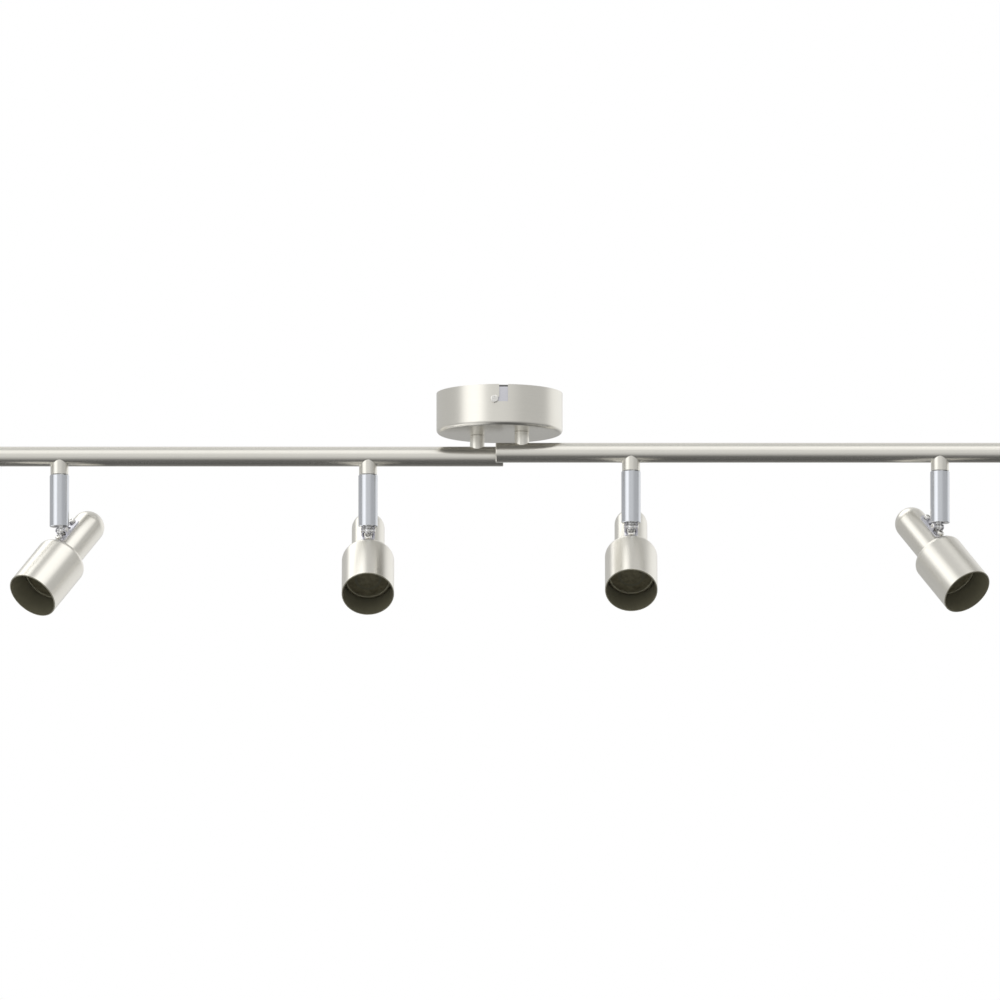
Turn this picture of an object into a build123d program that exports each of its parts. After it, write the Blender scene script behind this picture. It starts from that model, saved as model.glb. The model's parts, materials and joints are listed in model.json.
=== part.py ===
from build123d import *
import os
from math import cos, radians, sin

# Ceiling spot light: a round canopy carries two swivelling tubes, one to each side,
# and each tube carries two adjustable lamp heads.
# Millimetres. Origin: centre of the canopy's ceiling face. +Z up, +X along the right bar,
# -Y towards the room side that the canopy's screw slot faces.

# Canopy
canopy_radius = 65.0
canopy_height = 42.0
canopy_wall = 1.2
canopy_edge_radius = 4.0
slot_width = 9.0            # lets a side screw's head pass
slot_depth = 18.0
slot_centre_x = 4.2         # off the centre line, so the head ends near it
branch_height = 4.6         # runs along the screw's shank
side_screw_x = -5.1
side_screw_z = -15.6
side_head_radius = 4.0
side_head_height = 2.4
side_shank_radius = 2.0
side_shank_length = 8.5

# Mounting plate
plate_width = 24.0
plate_thickness = 1.6
plate_reach = 62.2          # outer face of each ear, from the axis
ear_height = 23.0
plate_bend_radius = 3.0
ear_corner_radius = 4.0
box_screw_spacing = 88.9    # standard ceiling-box screws
box_slot_width = 5.0
box_slot_length = 14.0
house_wire_hole_radius = 6.0
ground_screw_y = -27.0
ground_head_radius = 3.6
ground_head_height = 2.2
ground_shank_radius = 2.0

# Terminal block under the plate
block_width = 20.0
block_length = 34.0
block_height = 13.0
block_corner_radius = 1.5
entry_radius = 1.75
entry_depth = 4.0
driver_hole_radius = 1.6
driver_hole_depth = 3.0
supply_bend = 6.0
supply_z = -8.0             # height at which the leads enter it

# Bars
bar_radius = 10.25
bar_wall = 1.2
bar_offset = 12.75          # each bar's axis from the fixture's centre plane
bar_drop = 63.6             # bar axis below the ceiling
bar_inner_end = 4.0         # each bar passes the centre by this much
bar_outer_end = 593.0
cap_thickness = 1.5
cap_plug_length = 8.0
cap_plug_wall = 1.35

# Pivot posts
pivot_x = 23.0
post_radius = 7.5
nipple_radius = 5.0
post_bore = 3.6
post_top = -33.0
washer_thickness = 2.2
pivot_flange_radius = 8.5
pivot_flange_thickness = 1.2
pivot_nut_flats = 14.0
stem_nut_flats = 13.0
nut_height = 4.0

# Clearances
running_gap = 0.06          # round a shaft that turns in its hole
face_gap = 0.05             # between faces that slide on each other
thread_gap = 0.05           # round a screw or a plug
seat_gap = 0.02             # between pieces fixed together
through = 40.0              # cuts right through any wall

# Head positions, measured from the centre
stem_near = 135.5
stem_far = 453.7
head_yaw = {1: -45.0, 2: 0.0, 3: 0.0, 4: 45.0}

# Collar and stem, measured down from the bar's axis
collar_radius = 9.25
collar_drop = 19.2
collar_bore = 3.3
collar_nipple_radius = 4.95
collar_nipple_end = 31.0
stem_radius = 10.0
stem_bore = 8.8
stem_top = 19.6
stem_web = 6.0
stem_bottom = 73.2
plug_height = 6.0
plug_hole_radius = 2.2      # lets the lamp's leads through
plug_hole_y = -4.6

# Lamp head: the mouth's centre from the stem's axis and below the bar's axis
mouth_forward = 38.5
mouth_drop = 149.0
rest_tilt = 45.0            # lamp axis from straight down
cup_radius = 27.0
cup_length = 63.0
cup_wall = 1.1
lip_radius = 0.5
shoulder_radius = 6.3
rear_radius = 16.9
rear_wall = 1.2
lamp_length = 128.5
rear_edge_radius = 15.5

# Knuckle and saddle bracket, in the lamp's frame: distance behind the mouth and off the axis
pivot_back = 81.2
pivot_off = 21.3
ball_radius = 4.1
neck_radius = 3.4
ear_radius = 3.0
ear_inner = 5.4
ear_outer = 6.9
boss_radius = 2.75          # cross boss through the ball, between the ears
boss_half = 5.1
pin_radius = 1.5
saddle_thickness = 1.2
saddle_front = 68.5
saddle_length = 35.1
saddle_corner_radius = 5.0
window_half_width = 4.6
window_front = 76.6
window_length = 13.8
window_corner_radius = 2.0
bracket_screw_back = (72.9, 98.7)
screw_head_radius = 3.9
screw_head_height = 3.2
screw_shank_radius = 1.5
screw_tip_off = 13.9        # the shanks end this far off the lamp's axis

# Lampholder and bulb, as distances behind the mouth
bulb_face = 25.0
bulb_radius = 25.0
bulb_neck_radius = 12.8
bulb_end = 75.0
bulb_flare_back = 56.0
lens_ring_radius = 22.35
pin_spacing = 10.0
pin_length = 6.5
holder_front = 75.1
holder_back = 97.0
holder_radius = 15.3
pin_socket_radius = 2.7

wire_exit = 88.0            # hole through the housing's wall
wire_hole_radius = 2.6
head_lead_radius = 0.95

# Leads in the bars and the canopy
lead_radius = 1.5
lead_bend = 7.0
lead_spread = 1.7           # each lead beside the other in a bore
lead_top = -30.0            # where the bar's leads meet the supply leads
lead_drop = 62.0            # lower end in the stem, below the bar's axis

UP = (Align.CENTER, Align.CENTER, Align.MIN)


def save(name, shape):
    export_step(shape, f"parts/{name}.step")


def turned(*profile):
    """Solid of revolution about Z from (radius, z) points."""
    return revolve(Plane.XZ * make_face(Polyline(*profile, close=True)), Axis.Z)


def rod(radius, start, end):
    """Round rod between two points."""
    axis = Vector(*end) - Vector(*start)
    return Plane(origin=start, z_dir=axis) * Cylinder(radius, axis.length, align=UP)


def opposite(shape):
    """The same piece turned half a turn about the canopy's axis."""
    return Rot(0, 0, 180) * shape


def wire(points, bend, radius):
    """Round lead along straight runs joined by arcs."""
    path = FilletPolyline(*points, radius=bend)
    section = Plane(origin=path @ 0, z_dir=path % 0) * Circle(radius)
    return sweep(section, path=path)


# ---------------------------------------------------------------- canopy

def bayonet_slot():
    """L-shaped opening: in from the rim, then along to the screw."""
    depth = 12.0
    radial_y = -canopy_radius
    upright = Pos(slot_centre_x, radial_y, -slot_depth) * Box(
        slot_width, depth, slot_depth + 1, align=UP)
    branch_end = side_screw_x - branch_height / 2
    branch_length = slot_centre_x - branch_end - branch_height / 2
    branch = Pos(slot_centre_x - branch_length / 2, radial_y, side_screw_z) * Box(
        branch_length, depth, branch_height)
    seat = Pos(side_screw_x, radial_y, side_screw_z) * Rot(90, 0, 0) * Cylinder(
        branch_height / 2, depth)
    return upright + branch + seat


def canopy_cover():
    outer = Pos(0, 0, -canopy_height) * Cylinder(canopy_radius, canopy_height, align=UP)
    outer = fillet(outer.edges().sort_by(Axis.Z)[0], canopy_edge_radius)
    floor = -canopy_height + canopy_wall
    inner = Pos(0, 0, floor) * Cylinder(canopy_radius - canopy_wall, canopy_height, align=UP)
    inner = fillet(inner.edges().sort_by(Axis.Z)[0], canopy_edge_radius - canopy_wall)
    cover = outer - inner - bayonet_slot() - opposite(bayonet_slot())
    hole = Pos(-pivot_x, bar_offset, -canopy_height) * Cylinder(
        nipple_radius + running_gap, 4 * canopy_wall)
    return cover - hole - opposite(hole)


def mounting_plate():
    length = 2 * plate_reach
    channel = Pos(0, 0, -ear_height) * Box(plate_width, length, ear_height, align=UP)
    inside = Pos(0, 0, -ear_height) * Box(
        plate_width, length - 2 * plate_thickness, ear_height - plate_thickness, align=UP)
    channel = fillet(channel.edges().filter_by(Axis.X).group_by(Axis.Z)[-1], plate_bend_radius)
    inside = fillet(inside.edges().filter_by(Axis.X).group_by(Axis.Z)[-1],
                    plate_bend_radius - plate_thickness)
    plate = channel - inside
    ear_corners = plate.edges().filter_by(Axis.Y).group_by(Axis.Z)[0]
    plate = fillet(ear_corners, ear_corner_radius)
    slot = extrude(SlotOverall(box_slot_length, box_slot_width, rotation=90), through, both=True)
    for y in (-box_screw_spacing / 2, box_screw_spacing / 2):
        plate -= Pos(0, y, 0) * slot
    plate -= Pos(0, -ground_screw_y, 0) * Cylinder(house_wire_hole_radius, through)
    plate -= Pos(0, ground_screw_y, 0) * Cylinder(ground_shank_radius + thread_gap, through)
    screw_hole = Pos(side_screw_x, -plate_reach, side_screw_z) * Rot(90, 0, 0) * Cylinder(
        side_shank_radius + thread_gap, through)
    return plate - screw_hole - opposite(screw_hole)


def pan_head_screw(head_radius, head_height, shank_radius, shank_length):
    """Screw standing on the plane of its head's underside, head up, with a cross recess."""
    edge = 0.42 * head_height
    recess_depth = 0.5 * head_height
    recess_length = 1.1 * head_radius
    recess_width = 0.9
    head = Cylinder(head_radius, head_height, align=UP)
    head = fillet(head.edges().sort_by(Axis.Z)[-1], edge)
    for angle in (0, 90):
        head -= Pos(0, 0, head_height - recess_depth) * Rot(0, 0, angle) * Box(
            recess_length, recess_width, recess_depth, align=UP)
    return head + Pos(0, 0, -shank_length) * Cylinder(shank_radius, shank_length, align=UP)


def canopy_side_screws():
    head_seat = -canopy_radius - 2 * face_gap
    screw = Plane(origin=(side_screw_x, head_seat, side_screw_z),
                  x_dir=(1, 0, 0), z_dir=(0, -1, 0)) * pan_head_screw(
        side_head_radius, side_head_height, side_shank_radius, side_shank_length)
    return Compound(children=[screw, opposite(screw)])


def ground_screw():
    shank_length = plate_thickness - 0.2        # stays below the ceiling
    return Plane(origin=(0, ground_screw_y, -plate_thickness), z_dir=(0, 0, -1)) * (
        pan_head_screw(ground_head_radius, ground_head_height, ground_shank_radius, shank_length))


def lead_ys():
    return (bar_offset - lead_spread, bar_offset + lead_spread)


def terminal_block():
    top = -plate_thickness
    block = Pos(0, 0, top - block_height) * Box(block_width, block_length, block_height, align=UP)
    block = fillet(block.edges().filter_by(Axis.Z), block_corner_radius)
    entry = Rot(0, 90, 0) * Cylinder(entry_radius, entry_depth)
    driver_hole = Cylinder(driver_hole_radius, driver_hole_depth)
    entry_x = (entry_depth - block_width) / 2
    for y in lead_ys():
        for turn in (0, 180):
            block -= Rot(0, 0, turn) * Pos(entry_x, y, supply_z) * entry
            block -= Rot(0, 0, turn) * Pos(entry_x, y, top - block_height) * driver_hole
    return block


def supply_leads():
    leads = []
    end_gap = 0.5
    for y in lead_ys():
        start = (-pivot_x, y, lead_top + end_gap)
        corner = (-pivot_x, y, supply_z)
        end = (-block_width / 2 + entry_depth - end_gap, y, supply_z)
        lead = wire([start, corner, end], supply_bend, lead_radius)
        leads += [lead, opposite(lead)]
    return Compound(children=leads)


# ---------------------------------------------------------------- bars
# Everything here is the left bar; the right one is the same, turned half a turn.

def across(x_start, x_end, radius):
    """Cylinder along the left bar's axis."""
    return rod(radius, (x_start, bar_offset, -bar_drop), (x_end, bar_offset, -bar_drop))


def bar_tube():
    inner = bar_inner_end - cap_thickness
    outer = -bar_outer_end + cap_thickness
    tube = across(outer, inner, bar_radius) - across(outer, inner, bar_radius - bar_wall)
    tube -= Pos(-pivot_x, bar_offset, -bar_drop) * Cylinder(post_bore, through, align=UP)
    for x in (-stem_near, -stem_far):
        tube -= Pos(x, bar_offset, -bar_drop - through) * Cylinder(collar_bore, through, align=UP)
    return tube


def end_cap():
    """Closes a tube end: face outwards along +Z, plug inside the tube."""
    disc = Cylinder(bar_radius, cap_thickness, align=UP)
    disc = fillet(disc.edges().sort_by(Axis.Z)[-1], 0.7 * cap_thickness)
    plug_radius = bar_radius - bar_wall - thread_gap
    plug = Cylinder(plug_radius, cap_plug_length, align=UP)
    plug -= Cylinder(plug_radius - cap_plug_wall, cap_plug_length - 1, align=UP)
    return disc + Pos(0, 0, -cap_plug_length) * plug


def bar_end_caps():
    inner = Plane(origin=(bar_inner_end - cap_thickness, bar_offset, -bar_drop),
                  z_dir=(1, 0, 0)) * end_cap()
    outer = Plane(origin=(-bar_outer_end + cap_thickness, bar_offset, -bar_drop),
                  z_dir=(-1, 0, 0)) * end_cap()
    return Compound(children=[inner, outer])


def cope():
    """What a piece standing on the tube gives way to."""
    return across(-bar_outer_end, bar_inner_end, bar_radius + seat_gap)


def pivot_post():
    shoulder = -canopy_height - washer_thickness - 2 * face_gap
    bevel = 0.5
    post = turned((post_bore, -bar_drop), (post_radius, -bar_drop),
                  (post_radius, shoulder), (nipple_radius, shoulder),
                  (nipple_radius, post_top - bevel), (nipple_radius - bevel, post_top),
                  (post_bore, post_top))
    return Pos(-pivot_x, bar_offset, 0) * post - cope()


def friction_washer():
    top = -canopy_height - face_gap
    hole = nipple_radius + thread_gap
    bevel = 0.3
    ring = turned((hole, top - washer_thickness), (post_radius, top - washer_thickness),
                  (post_radius, top - bevel), (post_radius - bevel, top), (hole, top))
    return Pos(-pivot_x, bar_offset, 0) * ring


def hex_nut(bore, across_flats):
    """Nut standing on its flat side, with its upper corners bevelled."""
    hexagon = RegularPolygon(across_flats / 2, 6, major_radius=False)
    corner = 0.56 * across_flats
    top_corner = 0.47 * across_flats
    bevel_height = 0.8
    dome = turned((0, 0), (corner, 0), (corner, nut_height - bevel_height),
                  (top_corner, nut_height), (0, nut_height))
    return (extrude(hexagon, nut_height) & dome) - Cylinder(bore, through)


def pivot_nut():
    bore = nipple_radius + seat_gap
    flange = Cylinder(pivot_flange_radius, pivot_flange_thickness, align=UP)
    flange -= Cylinder(bore, through)
    nut = flange + Pos(0, 0, pivot_flange_thickness) * hex_nut(bore, pivot_nut_flats)
    return Pos(-pivot_x, bar_offset, -canopy_height + canopy_wall + face_gap) * nut


def bar_leads():
    """Two leads, one down each stem, both up through the post."""
    leads = []
    for x, y in zip((-stem_near, -stem_far), lead_ys()):
        points = [(x, y, -bar_drop - lead_drop), (x, y, -bar_drop),
                  (-pivot_x, y, -bar_drop), (-pivot_x, y, lead_top)]
        leads.append(wire(points, lead_bend, lead_radius))
    return Compound(children=leads)


def stem_nuts():
    web_gap = 0.2
    nut_bottom = -bar_drop - stem_top - stem_web - web_gap - nut_height
    nut = Pos(0, 0, nut_bottom) * hex_nut(collar_nipple_radius + seat_gap, stem_nut_flats)
    return Compound(children=[Pos(x, bar_offset, 0) * nut for x in (-stem_near, -stem_far)])


# ---------------------------------------------------------------- heads
# Each head is drawn with its stem on the Z axis, the bar's axis at z = 0 and the mouth
# towards -Y, then turned and moved to its place.

def collar():
    edge = 0.4
    body = turned((collar_bore, 0), (collar_radius, 0),
                  (collar_radius, -collar_drop + edge), (collar_radius - edge, -collar_drop),
                  (collar_nipple_radius, -collar_drop),
                  (collar_nipple_radius, -collar_nipple_end), (collar_bore, -collar_nipple_end))
    return body - Rot(0, 90, 0) * Cylinder(bar_radius + seat_gap, through)


def stem():
    web_bottom = -stem_top - stem_web
    edge = 0.5
    return turned((collar_nipple_radius + running_gap, -stem_top),
                  (stem_radius - edge, -stem_top), (stem_radius, -stem_top - edge),
                  (stem_radius, -stem_bottom + edge), (stem_radius - edge, -stem_bottom),
                  (stem_bore, -stem_bottom), (stem_bore, web_bottom),
                  (collar_nipple_radius + running_gap, web_bottom))


# The lamp's frame: origin at the mouth, Z back along the lamp, -Y towards the stem.
tilt_sin = sin(radians(rest_tilt))
tilt_cos = cos(radians(rest_tilt))
lamp_frame = Plane(origin=(0, -mouth_forward, -mouth_drop),
                   x_dir=(1, 0, 0), z_dir=(0, tilt_sin, tilt_cos))
pivot_y = -mouth_forward + pivot_back * tilt_sin - pivot_off * tilt_cos
pivot_z = -mouth_drop + pivot_back * tilt_cos + pivot_off * tilt_sin


def knuckle():
    """Plug in the stem's end, with a ball below it that the bracket's pin goes through."""
    plug = Pos(0, 0, -stem_bottom) * Cylinder(stem_bore - seat_gap, plug_height, align=UP)
    neck = Pos(0, pivot_y, pivot_z) * Cylinder(neck_radius, -stem_bottom - pivot_z, align=UP)
    ball = Pos(0, pivot_y, pivot_z) * Sphere(ball_radius)
    boss = Pos(0, pivot_y, pivot_z) * Rot(0, 90, 0) * Cylinder(boss_radius, 2 * boss_half)
    body = plug + neck + ball + boss
    body -= Pos(0, pivot_y, pivot_z) * Rot(0, 90, 0) * Cylinder(pin_radius + running_gap, through)
    return body - Pos(0, plug_hole_y, -stem_bottom) * Cylinder(plug_hole_radius, through)


def outward_hole(radius, back):
    """Drill from inside the lamp out through its wall, on the stem's side."""
    return rod(radius, (0, -holder_radius / 2, back), (0, -through, back))


def saddle_cut(width, front, length, corner):
    """Rounded rectangle seen from the stem's side, cut deep towards it."""
    middle = front + length / 2
    return Pos(0, 0, middle) * extrude(Plane.XZ * RectangleRounded(width, length, corner), through)


def bracket():
    """Saddle on the rear cylinder, with a window under the ball and two ears."""
    seat = Cylinder(rear_radius + seat_gap, lamp_length, align=UP)
    band = Cylinder(rear_radius + saddle_thickness, lamp_length, align=UP)
    saddle = (band - seat) & saddle_cut(
        2 * ear_outer, saddle_front, saddle_length, saddle_corner_radius)
    ear_width = ear_outer - ear_inner
    foot = pivot_off - rear_radius + saddle_thickness
    ear = Cylinder(ear_radius, ear_width) + Pos(0, foot / 2, 0) * Box(
        2 * ear_radius, foot, ear_width)
    ear_centre = (ear_outer + ear_inner) / 2
    for side in (-1, 1):
        saddle += Plane(origin=(side * ear_centre, -pivot_off, pivot_back),
                        x_dir=(0, 0, -1), z_dir=(1, 0, 0)) * ear
    saddle -= seat
    saddle -= saddle_cut(
        2 * window_half_width, window_front, window_length, window_corner_radius)
    saddle -= Pos(0, -pivot_off, pivot_back) * Rot(0, 90, 0) * Cylinder(
        pin_radius + seat_gap / 2, through)
    for back in bracket_screw_back:
        saddle -= outward_hole(screw_shank_radius + 2 * thread_gap, back)
    return saddle


def pivot_pin():
    """Pin through both ears, with a flat rivet head at each end."""
    rivet_head = turned((0, 0), (2.3, 0), (2.2, 0.35), (1.5, 0.7), (0, 0.7))
    pin = Cylinder(pin_radius, 2 * ear_outer)
    for turn in (0, 180):
        pin += Rot(turn, 0, 0) * Pos(0, 0, ear_outer) * rivet_head
    return Pos(0, -pivot_off, pivot_back) * Rot(0, 90, 0) * pin


def bracket_screws():
    seat = rear_radius + saddle_thickness
    screws = []
    for back in bracket_screw_back:
        plane = Plane(origin=(0, -seat, back), x_dir=(1, 0, 0), z_dir=(0, -1, 0))
        screws.append(plane * pan_head_screw(
            screw_head_radius, screw_head_height, screw_shank_radius, seat - screw_tip_off))
    return Compound(children=screws)


def lamp_shell(radius, length, narrow_radius, total, shoulder, rear_edge):
    """Wide front cylinder, rounded shoulder, narrower rear cylinder with a rounded end."""
    body = turned((0, 0), (radius, 0), (radius, length), (narrow_radius, length),
                  (narrow_radius, total), (0, total))
    rims = body.edges().filter_by(GeomType.CIRCLE)
    body = fillet([e for e in rims if e.radius == radius and e.center().Z > 1], shoulder)
    rims = body.edges().filter_by(GeomType.CIRCLE)
    return fillet(rims.sort_by(Axis.Z)[-1], rear_edge)


def housing():
    outer = lamp_shell(cup_radius, cup_length, rear_radius, lamp_length,
                       shoulder_radius, rear_edge_radius)
    inner = lamp_shell(cup_radius - cup_wall, cup_length - rear_wall, rear_radius - rear_wall,
                       lamp_length - rear_wall, shoulder_radius - rear_wall,
                       rear_edge_radius - rear_wall)
    lip = outer.edges().filter_by(GeomType.CIRCLE).sort_by(Axis.Z)[0]
    shell = fillet(lip, lip_radius) - inner
    for back in bracket_screw_back:
        shell -= outward_hole(screw_shank_radius + seat_gap, back)
    return shell - outward_hole(wire_hole_radius, wire_exit)


def lampholder():
    body = Pos(0, 0, holder_front) * Cylinder(holder_radius, holder_back - holder_front, align=UP)
    body = chamfer(body.edges().filter_by(GeomType.CIRCLE), 0.6)
    socket_depth = pin_length + 1.5
    for side in (-1, 1):
        body -= Pos(side * pin_spacing / 2, 0, holder_front) * Cylinder(
            pin_socket_radius, socket_depth, align=UP)
    return body - outward_hole(wire_hole_radius, wire_exit)


def bulb():
    glass = turned((0, bulb_face + 0.8), (lens_ring_radius - 0.8, bulb_face + 0.8),
                   (lens_ring_radius - 0.5, bulb_face), (lens_ring_radius + 0.5, bulb_face),
                   (lens_ring_radius + 0.8, bulb_face + 0.6), (bulb_radius - 0.6, bulb_face + 0.6),
                   (bulb_radius, bulb_face + 1.2), (bulb_radius, bulb_face + 4.0),
                   (bulb_neck_radius + 1.6, bulb_flare_back),
                   (bulb_neck_radius, bulb_flare_back + 2.0),
                   (bulb_neck_radius, bulb_end - 0.8), (bulb_neck_radius - 0.8, bulb_end),
                   (0, bulb_end))
    foot_height = 3.0
    for side in (-1, 1):
        pin = Pos(side * pin_spacing / 2, 0, bulb_end)
        glass += pin * Cylinder(1.4, pin_length, align=UP)
        glass += pin * Pos(0, 0, pin_length - foot_height) * Cylinder(
            pin_socket_radius - 0.3, foot_height, align=UP)
    return glass


def head_leads():
    """Pair of short leads from the lampholder up to the housing's wire hole."""
    spread = head_lead_radius + 0.2
    inner_end = holder_radius / 2 + 1.5
    outer_end = rear_radius + 0.3
    pair = [rod(head_lead_radius, (x, -inner_end, wire_exit), (x, -outer_end, wire_exit))
            for x in (-spread, spread)]
    return Compound(children=pair)


# ---------------------------------------------------------------- assembly

os.makedirs("parts", exist_ok=True)

save("canopy_cover", canopy_cover())
save("mounting_plate", mounting_plate())
save("canopy_side_screws", canopy_side_screws())
save("ground_screw", ground_screw())
save("terminal_block", terminal_block())
save("supply_leads", supply_leads())

bar_pieces = {
    "bar_tube": bar_tube(),
    "bar_end_caps": bar_end_caps(),
    "pivot_post": pivot_post(),
    "friction_washer": friction_washer(),
    "pivot_nut": pivot_nut(),
    "bar_leads": bar_leads(),
    "stem_nuts": stem_nuts(),
}
for name, piece in bar_pieces.items():
    save(f"left_{name}", piece)
    save(f"right_{name}", opposite(piece))

stem_pieces = {"stem": stem(), "knuckle": knuckle()}
lamp_pieces = {
    "bracket": bracket(),
    "pivot_pin": pivot_pin(),
    "bracket_screws": bracket_screws(),
    "housing": housing(),
    "lampholder": lampholder(),
    "bulb": bulb(),
    "leads": head_leads(),
}
head_place = {
    1: (-stem_far, bar_offset),
    2: (-stem_near, bar_offset),
    3: (stem_near, -bar_offset),
    4: (stem_far, -bar_offset),
}
for number, (x, y) in head_place.items():
    under_bar = Pos(x, y, -bar_drop)
    turned_stem = under_bar * Rot(0, 0, head_yaw[number])
    save(f"head{number}_collar", under_bar * collar())
    for name, piece in stem_pieces.items():
        save(f"head{number}_{name}", turned_stem * piece)
    for name, piece in lamp_pieces.items():
        save(f"head{number}_{name}", turned_stem * lamp_frame.location * piece)
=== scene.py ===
import json
import math

import bpy
from mathutils import Matrix, Vector


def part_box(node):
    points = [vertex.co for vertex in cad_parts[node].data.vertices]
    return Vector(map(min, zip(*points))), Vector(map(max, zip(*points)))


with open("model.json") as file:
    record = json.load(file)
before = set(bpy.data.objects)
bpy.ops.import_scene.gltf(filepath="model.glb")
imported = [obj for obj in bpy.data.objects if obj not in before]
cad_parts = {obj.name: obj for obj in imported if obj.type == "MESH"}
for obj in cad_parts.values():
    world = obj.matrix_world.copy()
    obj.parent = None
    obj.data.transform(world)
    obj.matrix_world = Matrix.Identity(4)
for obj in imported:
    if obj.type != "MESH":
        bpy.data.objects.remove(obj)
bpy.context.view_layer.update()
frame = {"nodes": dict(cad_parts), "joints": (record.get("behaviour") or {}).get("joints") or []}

# ---------------------------------------------------------------- places

MM = 0.001
HEADS = (1, 2, 3, 4)
REST_TILT = math.radians(45.0)
PIVOT_BACK = 81.2 * MM          # each tilt pivot, behind the mouth and off the lamp's axis
PIVOT_OFF = 21.3 * MM
CUP_INSIDE = 26.2 * MM          # between the cup's inner and outer radius
CUP_END = 57.0 * MM             # its painted shade inside ends here, behind the mouth
LIP_INSIDE = 25.95 * MM
LIP_END = 0.45 * MM
GLASS_END = 58.5 * MM           # the bulb is glass in front of this, and pale behind it
GLASS_RIM = (22.3 * MM, 1.0 * MM)       # radius and half width of a ring on the glass
BURNER_RIM = (12.5 * MM, 1.6 * MM)
CEILING_GAP = -2.4 * MM         # the mounting plate has painted shade above this

joint_of = {joint["name"]: joint for joint in frame["joints"]}


def head_yaw(number):
    """Turn of a head about its stem, read from its tilt axis."""
    axis = joint_of[f"head{number}_tilt"]["axis"]
    return math.atan2(-axis[1], -axis[0])


def stem_place(number):
    """Matrix of a stem's frame: its axis along Z, the mouth towards -Y."""
    low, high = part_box(f"head{number}_stem")
    middle = (low + high) / 2
    return Matrix.Translation((middle.x, middle.y, 0)) @ Matrix.Rotation(head_yaw(number), 4, "Z")


def lamp_place(number):
    """Matrix of a lamp's frame: origin at the mouth's centre, Z back along the lamp,
    -Y towards the stem."""
    pivot = Vector(joint_of[f"head{number}_tilt"]["pos_m"])
    turn = Matrix.Rotation(head_yaw(number), 4, "Z") @ Matrix.Rotation(-REST_TILT, 4, "X")
    mouth = pivot - turn.to_3x3() @ Vector((0, -PIVOT_OFF, PIVOT_BACK))
    return Matrix.Translation(mouth) @ turn


# ---------------------------------------------------------------- colours

# Light and dark tone of each.
NICKEL = ((0.775, 0.758, 0.71), (0.75, 0.733, 0.685))
CHROME = ((0.635, 0.655, 0.70), (0.605, 0.625, 0.67))
CAST_CHROME = ((0.82, 0.82, 0.83), (0.74, 0.745, 0.755))
ZINC = ((0.74, 0.74, 0.79), (0.63, 0.63, 0.69))
SCREW = ((0.88, 0.87, 0.85), (0.78, 0.77, 0.75))
BRASS = ((0.80, 0.62, 0.30), (0.66, 0.48, 0.20))
# Painted shade: dark olive of the bulb's face, deep in the cup's shade.
OLIVE_PAINTED_SHADE = ((0.110, 0.100, 0.064), (0.056, 0.050, 0.030))
SLEEVE = ((0.88, 0.88, 0.86), (0.80, 0.80, 0.77))
STEATITE = ((0.90, 0.88, 0.84), (0.80, 0.77, 0.72))
NYLON = ((0.88, 0.87, 0.83), (0.80, 0.79, 0.74))
GREEN = ((0.07, 0.40, 0.16), (0.04, 0.28, 0.10))

# Single tones: colour, metallic and roughness.
# Painted shade: dark olive inside the cup, where its hollow lies in shade.
CUP_PAINTED_SHADE = ((0.155, 0.146, 0.10), 0.10, 0.50)
# Painted shade: a thin dark line on the lip of the cup's mouth.
LIP_PAINTED_SHADE = ((0.20, 0.19, 0.15), 0.20, 0.40)
# Painted highlight: the raised rim of the bulb's glass made pale.
GLASS_RIM_PAINTED_HIGHLIGHT = ((0.30, 0.29, 0.22), 0.3, 0.25)
BURNER_RIM_PALE = ((0.09, 0.087, 0.062), 0.2, 0.2)
BULB_BASE_PALE = ((0.72, 0.70, 0.65), 0.0, 0.6)
# Painted shade in the gap between the mounting plate and the ceiling.
STRAP_SHADE = ((0.11, 0.11, 0.11), 0.4, 0.5)
GLASS_ROUGHNESS = 0.14
FLOOR_WHITE = (0.86, 0.86, 0.85)
FLOOR_ROUGHNESS = 0.9

# Texture scales, per metre.
CLOUDS = 35.0                   # slow change of tone over a metal
STAINS = 60.0                   # and over a plastic
GLASS_CLOUDS = 220.0
FACETS = 420.0                  # of the reflector behind the glass
ORANGE_PEEL = 900.0             # of a casting
ROLLED_SKIN = 1400.0            # of a pressing or a screw
NOISE_LOW, NOISE_HIGH = 0.3, 0.7        # most noise lies between these
GRAIN_SHARE = 0.6               # of a metal's change of tone; slow clouds make the rest


# ---------------------------------------------------------------- node helpers

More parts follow.
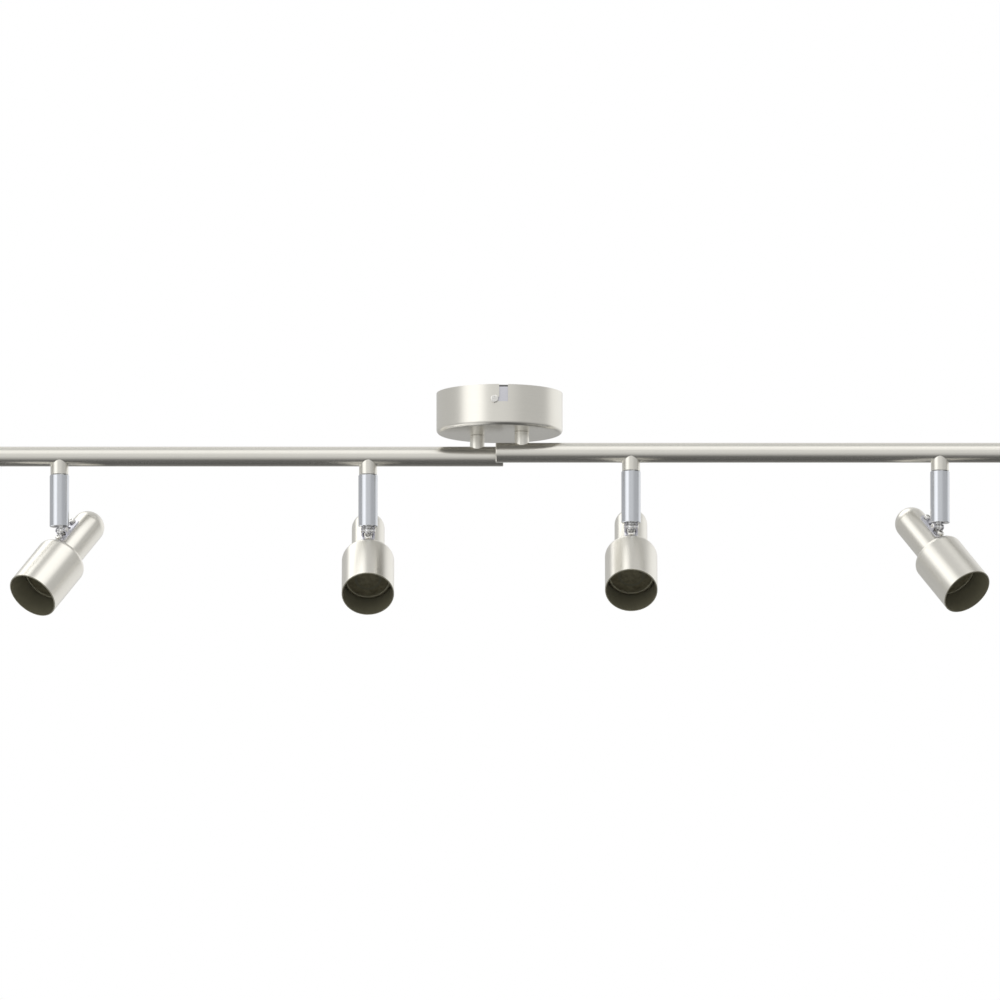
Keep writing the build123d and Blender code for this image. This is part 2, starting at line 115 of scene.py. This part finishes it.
class Nodes:
    """The node tree of a material or a world, with short calls for making and joining nodes."""

    def __init__(self, owner):
        owner.use_nodes = True
        self.owner = owner
        self.tree = owner.node_tree

    def shader(self, name):
        """A socket of the material's shader."""
        return self.tree.nodes["Principled BSDF"].inputs[name]

    def new(self, kind, **settings):
        node = self.tree.nodes.new(kind)
        for key, value in settings.items():
            setattr(node, key, value)
        return node

    def fill(self, socket, value):
        """Joins the socket to another socket, or sets it to a number, vector or colour."""
        if isinstance(value, bpy.types.NodeSocket):
            self.tree.links.new(value, socket)
        elif socket.type == "RGBA":
            socket.default_value = (*value, 1.0)
        else:
            socket.default_value = value

    def math(self, operation, first, second=0.0):
        node = self.new("ShaderNodeMath", operation=operation)
        self.fill(node.inputs[0], first)
        self.fill(node.inputs[1], second)
        return node.outputs[0]

    def object_point(self, place=None):
        """Rest position in metres, or in the frame of the given matrix."""
        point = self.new("ShaderNodeTexCoord").outputs["Object"]
        if place is None:
            return point
        inverse = place.inverted()
        mapping = self.new("ShaderNodeMapping")
        self.fill(mapping.inputs["Vector"], point)
        self.fill(mapping.inputs["Location"], inverse.to_translation())
        self.fill(mapping.inputs["Rotation"], inverse.to_euler("XYZ"))
        return mapping.outputs[0]

    def split(self, vector):
        node = self.new("ShaderNodeSeparateXYZ")
        self.fill(node.inputs[0], vector)
        return node.outputs

    def join(self, x, y, z):
        node = self.new("ShaderNodeCombineXYZ")
        for socket, value in zip(node.inputs, (x, y, z)):
            self.fill(socket, value)
        return node.outputs[0]

    def from_axis(self, point):
        """Distance from the Z axis, and Z."""
        x, y, z = self.split(point)
        square = self.math("ADD", self.math("MULTIPLY", x, x), self.math("MULTIPLY", y, y))
        return self.math("SQRT", square), z

    def noise(self, vector, scale, detail=3.0, roughness=0.55):
        node = self.new("ShaderNodeTexNoise")
        self.fill(node.inputs["Vector"], vector)
        self.fill(node.inputs["Scale"], scale)
        self.fill(node.inputs["Detail"], detail)
        self.fill(node.inputs["Roughness"], roughness)
        return node.outputs["Fac"]

    def map_range(self, value, before, after=(0.0, 1.0), smooth=False):
        """Maps one range to another. A smooth one eases in and out of both its ends."""
        node = self.new("ShaderNodeMapRange",
                        interpolation_type="SMOOTHSTEP" if smooth else "LINEAR")
        self.fill(node.inputs["Value"], value)
        self.fill(node.inputs["From Min"], before[0])
        self.fill(node.inputs["From Max"], before[1])
        self.fill(node.inputs["To Min"], after[0])
        self.fill(node.inputs["To Max"], after[1])
        return node.outputs[0]

    def spread(self, noise, low=0.0, high=1.0):
        """Maps the values where most noise lies to low..high."""
        return self.map_range(noise, (NOISE_LOW, NOISE_HIGH), (low, high))

    def blend(self, factor, first, second):
        """Colour between two colours."""
        node = self.new("ShaderNodeMix", data_type="RGBA")
        self.fill(node.inputs["Factor"], factor)
        self.fill(node.inputs[6], first)
        self.fill(node.inputs[7], second)
        return node.outputs[2]

    def bump(self, height, distance, strength=1.0):
        node = self.new("ShaderNodeBump")
        self.fill(node.inputs["Strength"], strength)
        self.fill(node.inputs["Distance"], distance)
        self.fill(node.inputs["Height"], height)
        self.fill(self.shader("Normal"), node.outputs[0])

    def recolour(self, factor, tone):
        """Where the factor is 1, gives the shader the tone's colour, metallic and roughness."""
        colour, metallic, roughness = tone
        socket = self.shader("Base Color")
        self.fill(socket, self.blend(factor, socket.links[0].from_socket, colour))
        for name, value in (("Metallic", metallic), ("Roughness", roughness)):
            socket = self.shader(name)
            before = socket.links[0].from_socket if socket.links else socket.default_value
            node = self.new("ShaderNodeMix", data_type="FLOAT")
            self.fill(node.inputs["Factor"], factor)
            self.fill(node.inputs[2], before)
            self.fill(node.inputs[3], value)
            self.fill(socket, node.outputs[0])


def material(name):
    return Nodes(bpy.data.materials.new(name))


# ---------------------------------------------------------------- materials

def stretched_noise(nodes, scaled):
    """Noise over three coordinates, each given with its own scale."""
    coordinates = [nodes.math("MULTIPLY", value, scale) for value, scale in scaled]
    return nodes.noise(nodes.join(*coordinates), scale=1.0, detail=4.0, roughness=0.65)


def round_grain(lines_per_mm, around):
    """Noise whose grain runs round the Z axis: fine along Z and the radius, long round it."""
    def grain(nodes, point):
        x, y, z = nodes.split(point)
        radius, _ = nodes.from_axis(point)
        angle = nodes.math("ARCTAN2", y, x)
        return stretched_noise(nodes, ((nodes.math("SINE", angle), around),
                                       (nodes.math("COSINE", angle), around),
                                       (nodes.math("ADD", z, radius), lines_per_mm / MM)))
    return grain


def long_grain(lines_per_mm, along):
    """Noise whose grain runs along X."""
    def grain(nodes, point):
        x, y, z = nodes.split(point)
        fine = lines_per_mm / MM
        return stretched_noise(nodes, ((x, along), (y, fine), (z, fine)))
    return grain


def even_grain(scale, detail):
    """Noise without a direction."""
    return lambda nodes, point: nodes.noise(point, scale, detail)


def brushed(name, tones, grain_of, rough, depth, place=None):
    """Metal whose grain shows in the colour, the roughness and the relief."""
    light, dark = tones
    smooth, coarse = rough
    nodes = material(name)
    point = nodes.object_point(place)
    grain = grain_of(nodes, point)
    clouds = nodes.noise(point, CLOUDS, detail=2.0)
    tone = nodes.math("ADD", nodes.math("MULTIPLY", nodes.spread(grain), GRAIN_SHARE),
                      nodes.math("MULTIPLY", nodes.spread(clouds), 1 - GRAIN_SHARE))
    nodes.fill(nodes.shader("Base Color"), nodes.blend(tone, dark, light))
    nodes.fill(nodes.shader("Metallic"), 1.0)
    nodes.fill(nodes.shader("Roughness"), nodes.spread(grain, coarse, smooth))
    nodes.bump(grain, depth)
    return nodes


def turned_nickel(name, place=None):
    return brushed(name, NICKEL, round_grain(lines_per_mm=6.0, around=1.2),
                   rough=(0.27, 0.31), depth=4e-7, place=place)


def tube_nickel(name):
    return brushed(name, NICKEL, long_grain(lines_per_mm=4.0, along=9.0),
                   rough=(0.24, 0.28), depth=1.5e-7)


def satin_chrome(name, place):
    return brushed(name, CHROME, round_grain(lines_per_mm=6.0, around=1.0),
                   rough=(0.19, 0.23), depth=3e-7, place=place)


def cast_chrome(name, place):
    """Chromed casting, satin with a faint orange peel."""
    return brushed(name, CAST_CHROME, even_grain(ORANGE_PEEL, detail=2.0),
                   rough=(0.24, 0.32), depth=3e-6, place=place)


def plated(name, tones, rough=(0.26, 0.38)):
    """Plated pressing or screw: cloudy colour over a fine rolled texture."""
    return brushed(name, tones, even_grain(ROLLED_SKIN, detail=3.0), rough, depth=3e-6)


def moulded(name, tones, rough, scale, depth):
    """Plastic, silicone or ceramic with a fine skin."""
    light, dark = tones
    nodes = material(name)
    point = nodes.object_point()
    skin = nodes.noise(point, scale)
    stains = nodes.spread(nodes.noise(point, STAINS))
    nodes.fill(nodes.shader("Base Color"), nodes.blend(stains, dark, light))
    nodes.fill(nodes.shader("Roughness"), nodes.spread(skin, *rough))
    nodes.bump(skin, depth)
    return nodes


def lamp_nickel(name, place):
    """Turned nickel outside; dark olive painted shade inside the cup and on its lip."""
    nodes = turned_nickel(name, place)
    radius, z = nodes.from_axis(nodes.object_point(place))
    # Painted shade: the inside of the cup turned dark olive.
    inside = nodes.math("MULTIPLY", nodes.math("LESS_THAN", radius, CUP_INSIDE),
                        nodes.math("LESS_THAN", z, CUP_END))
    nodes.recolour(inside, CUP_PAINTED_SHADE)
    # Painted shade on the lip of the mouth.
    lip = nodes.math("MULTIPLY", nodes.math("LESS_THAN", z, LIP_END),
                     nodes.math("GREATER_THAN", radius, LIP_INSIDE))
    nodes.recolour(lip, LIP_PAINTED_SHADE)
    return nodes


def ring(nodes, distance, radius, half_width):
    """1 on a thin ring round the axis, falling softly to 0 beside it."""
    offset = nodes.math("ABSOLUTE", nodes.math("SUBTRACT", distance, radius))
    return nodes.map_range(offset, (half_width, 0.4 * half_width), smooth=True)


def bulb_glass(name, place):
    """Clear cover over a faceted reflector, coloured dark olive as painted shade of the cup's
    hollow; a painted highlight at its rim, pale round the burner.
    """
    light, dark = OLIVE_PAINTED_SHADE
    nodes = material(name)
    point = nodes.object_point(place)
    radius, z = nodes.from_axis(point)
    clouds = nodes.spread(nodes.noise(point, GLASS_CLOUDS))
    facets = nodes.new("ShaderNodeTexVoronoi")
    nodes.fill(facets.inputs["Vector"], point)
    nodes.fill(facets.inputs["Scale"], FACETS)
    # Painted shade: the face's dark olive.
    nodes.fill(nodes.shader("Base Color"), nodes.blend(clouds, dark, light))
    nodes.fill(nodes.shader("Roughness"), GLASS_ROUGHNESS)
    nodes.fill(nodes.shader("Metallic"), 0.0)
    # Painted highlight on the raised rim of the glass.
    nodes.recolour(ring(nodes, radius, *GLASS_RIM), GLASS_RIM_PAINTED_HIGHLIGHT)
    nodes.recolour(ring(nodes, radius, *BURNER_RIM), BURNER_RIM_PALE)
    nodes.recolour(nodes.math("GREATER_THAN", z, GLASS_END), BULB_BASE_PALE)
    nodes.bump(facets.outputs["Distance"], distance=1.5e-4, strength=0.5)
    return nodes


def zinc_strap(name):
    """Zinc-plated steel, with painted shade in the gap against the ceiling."""
    nodes = plated(name, ZINC)
    _, _, z = nodes.split(nodes.object_point())
    # Painted shade above the ceiling gap.
    nodes.recolour(nodes.math("GREATER_THAN", z, CEILING_GAP), STRAP_SHADE)
    return nodes


# ---------------------------------------------------------------- dressing the CAD nodes

def dress(node, look):
    slots = frame["nodes"][node].data.materials
    slots.clear()
    slots.append(look.owner)


bar_nickel = tube_nickel("bar_nickel")
zinc = plated("zinc_plate", ZINC)
screw_nickel = plated("bright_screws", SCREW, rough=(0.20, 0.30))
brass = plated("brass", BRASS)
sleeve = moulded("lead_sleeve", SLEEVE, rough=(0.35, 0.50), scale=900.0, depth=8e-6)
steatite = moulded("steatite", STEATITE, rough=(0.60, 0.80), scale=2500.0, depth=1.5e-5)
nylon = moulded("block_nylon", NYLON, rough=(0.35, 0.45), scale=700.0, depth=8e-6)
green = moulded("green_screw", GREEN, rough=(0.25, 0.40), scale=900.0, depth=8e-6)

dress("canopy_cover", turned_nickel("canopy_nickel"))
dress("mounting_plate", zinc_strap("zinc_strap"))
dress("canopy_side_screws", screw_nickel)
dress("ground_screw", green)
dress("terminal_block", nylon)
dress("supply_leads", sleeve)
for side in ("left", "right"):
    for piece in ("bar_tube", "bar_end_caps", "pivot_post", "friction_washer"):
        dress(f"{side}_{piece}", bar_nickel)
    dress(f"{side}_pivot_nut", zinc)
    dress(f"{side}_stem_nuts", brass)
    dress(f"{side}_bar_leads", sleeve)
for number in HEADS:
    stem = stem_place(number)
    lamp = lamp_place(number)
    dress(f"head{number}_collar", turned_nickel(f"collar{number}_nickel", stem))
    dress(f"head{number}_stem", satin_chrome(f"stem{number}_chrome", stem))
    dress(f"head{number}_knuckle", cast_chrome(f"knuckle{number}_chrome", stem))
    dress(f"head{number}_housing", lamp_nickel(f"housing{number}_nickel", lamp))
    dress(f"head{number}_bulb", bulb_glass(f"bulb{number}_glass", lamp))
    dress(f"head{number}_bracket", zinc)
    dress(f"head{number}_pivot_pin", screw_nickel)
    dress(f"head{number}_bracket_screws", screw_nickel)
    dress(f"head{number}_lampholder", steatite)
    dress(f"head{number}_leads", sleeve)


# ---------------------------------------------------------------- floor, light and camera

FLOOR_HALF = 8.0
FLOOR_LEVEL = -2.4
SOFTBOX_SIDE = 3.0
SOFTBOX_HEIGHT = 3.0
SOFTBOX_RADIANCE = 1.1
SENSOR_WIDTH = 36.0
CAMERA_ELEVATION = math.radians(-8.75)
CAMERA_DISTANCE = 30.0
PICTURE_WIDTH = 1.031           # what the picture spans at the fixture
PICTURE_CENTRE_X = 0.0005
PICTURE_CENTRE_BELOW = 0.1096   # from the ceiling face's centre, down the picture

# Soft glows of the studio: azimuth, elevation, angle of the full glow, angle where it ends,
# and radiance.
GLOWS = (
    (-50, 8, 11, 29, 0.75),     # tall window on the left, its lower half
    (-67, 34, 10, 25, 0.80),    # its upper half
    (-10, 0, 15, 55, 0.22),     # the room behind the camera
    (2, 46, 8, 26, 0.45),       # over the camera
    (47, 55, 16, 29, 0.80),     # skylight, in front on the right
    (-122, 55, 21, 29, 1.10),   # skylight, behind on the left
    (134, 8, 14, 43, 0.48),     # wall behind on the right
    (180, 42, 8, 28, 0.22),     # over the wall behind
    (-72, -50, 15, 34, 0.75),   # pale floor on the left
    (-125, -44, 14, 34, 1.10),  # and further back
)
HEIGHTS = ((-1.0, 0.11), (-0.85, 0.13), (-0.70, 0.19), (-0.42, 0.40), (0.0, 0.61),
           (0.6, 0.60), (0.95, 0.62), (1.0, 0.62))     # sine of elevation, radiance
ROOM_COLOUR = (1.0, 0.998, 0.98)


def make_floor():
    mesh = bpy.data.meshes.new("floor")
    corners = [(x * FLOOR_HALF, y * FLOOR_HALF, FLOOR_LEVEL)
               for x, y in ((-1, -1), (1, -1), (1, 1), (-1, 1))]
    mesh.from_pydata(corners, [], [(0, 1, 2, 3)])
    floor = bpy.data.objects.new("floor", mesh)
    bpy.context.scene.collection.objects.link(floor)
    nodes = material("pale_floor")
    nodes.fill(nodes.shader("Base Color"), FLOOR_WHITE)
    nodes.fill(nodes.shader("Roughness"), FLOOR_ROUGHNESS)
    mesh.materials.append(nodes.owner)
    floor.visible_glossy = False


def outwards(azimuth, elevation):
    """Unit vector. Azimuth 0 is the camera's side, positive to its right."""
    a, e = math.radians(azimuth), math.radians(elevation)
    return Vector((math.sin(a) * math.cos(e), -math.cos(a) * math.cos(e), math.sin(e)))


def room_radiance(nodes):
    """Radiance of the room by direction: a tone for each height, and the glows over it."""
    direction = nodes.new("ShaderNodeTexCoord").outputs["Generated"]
    _, _, sine = nodes.split(direction)
    ramp = nodes.new("ShaderNodeValToRGB")
    elements = ramp.color_ramp.elements
    while len(elements) < len(HEIGHTS):
        elements.new(0.5)
    for element, (height, radiance) in zip(elements, HEIGHTS):
        element.position = (height + 1) / 2
        element.color = (radiance, radiance, radiance, 1)
    nodes.fill(ramp.inputs["Fac"], nodes.map_range(sine, (-1.0, 1.0)))
    total = ramp.outputs["Color"]
    for azimuth, elevation, full, end, radiance in GLOWS:
        dot = nodes.new("ShaderNodeVectorMath", operation="DOT_PRODUCT")
        nodes.fill(dot.inputs[0], direction)
        nodes.fill(dot.inputs[1], outwards(azimuth, elevation))
        edges = (math.cos(math.radians(end)), math.cos(math.radians(full)))
        glow = nodes.map_range(dot.outputs["Value"], edges, (0.0, radiance), smooth=True)
        total = nodes.math("ADD", total, glow)
    return total


def make_world():
    """White to the eye; for reflections a soft room, bright above and dim below."""
    world = bpy.data.worlds.new("studio")
    bpy.context.scene.world = world
    nodes = Nodes(world)
    nodes.tree.nodes.clear()
    white = nodes.new("ShaderNodeBackground")
    nodes.fill(white.inputs["Color"], (1.0, 1.0, 1.0))
    room = nodes.new("ShaderNodeBackground")
    nodes.fill(room.inputs["Color"], ROOM_COLOUR)
    nodes.fill(room.inputs["Strength"], room_radiance(nodes))
    mix = nodes.new("ShaderNodeMixShader")
    seen = nodes.new("ShaderNodeLightPath").outputs["Is Camera Ray"]
    nodes.fill(mix.inputs["Fac"], seen)
    nodes.fill(mix.inputs[1], room.outputs[0])
    nodes.fill(mix.inputs[2], white.outputs[0])
    output = nodes.new("ShaderNodeOutputWorld")
    nodes.fill(output.inputs["Surface"], mix.outputs[0])


def make_lights():
    """One broad softbox overhead, for the floor and the matt pieces; the metal reflects
    the room instead."""
    light = bpy.data.lights.new("overhead", "AREA")
    light.shape = "SQUARE"
    light.size = SOFTBOX_SIDE
    light.energy = SOFTBOX_RADIANCE * SOFTBOX_SIDE ** 2 * math.pi
    lamp = bpy.data.objects.new("overhead", light)
    lamp.location = (0, 0, SOFTBOX_HEIGHT)
    lamp.visible_glossy = False
    bpy.context.scene.collection.objects.link(lamp)


def make_camera():
    """Long lens, a little below the fixture and straight in front of it."""
    camera_data = bpy.data.cameras.new("camera")
    camera_data.sensor_width = SENSOR_WIDTH
    camera_data.lens = SENSOR_WIDTH * CAMERA_DISTANCE / PICTURE_WIDTH
    camera_data.clip_end = 100.0
    camera = bpy.data.objects.new("camera", camera_data)
    back = Vector((0, -math.cos(CAMERA_ELEVATION), math.sin(CAMERA_ELEVATION)))
    rotation = back.to_track_quat("Z", "Y")
    up = rotation @ Vector((0, 1, 0))
    target = Vector((PICTURE_CENTRE_X, 0, 0)) - up * PICTURE_CENTRE_BELOW
    camera.location = target + back * CAMERA_DISTANCE
    camera.rotation_euler = rotation.to_euler()
    bpy.context.scene.collection.objects.link(camera)
    bpy.context.scene.camera = camera


make_floor()
make_world()
make_lights()
make_camera()
bpy.context.scene.view_settings.view_transform = "Standard"
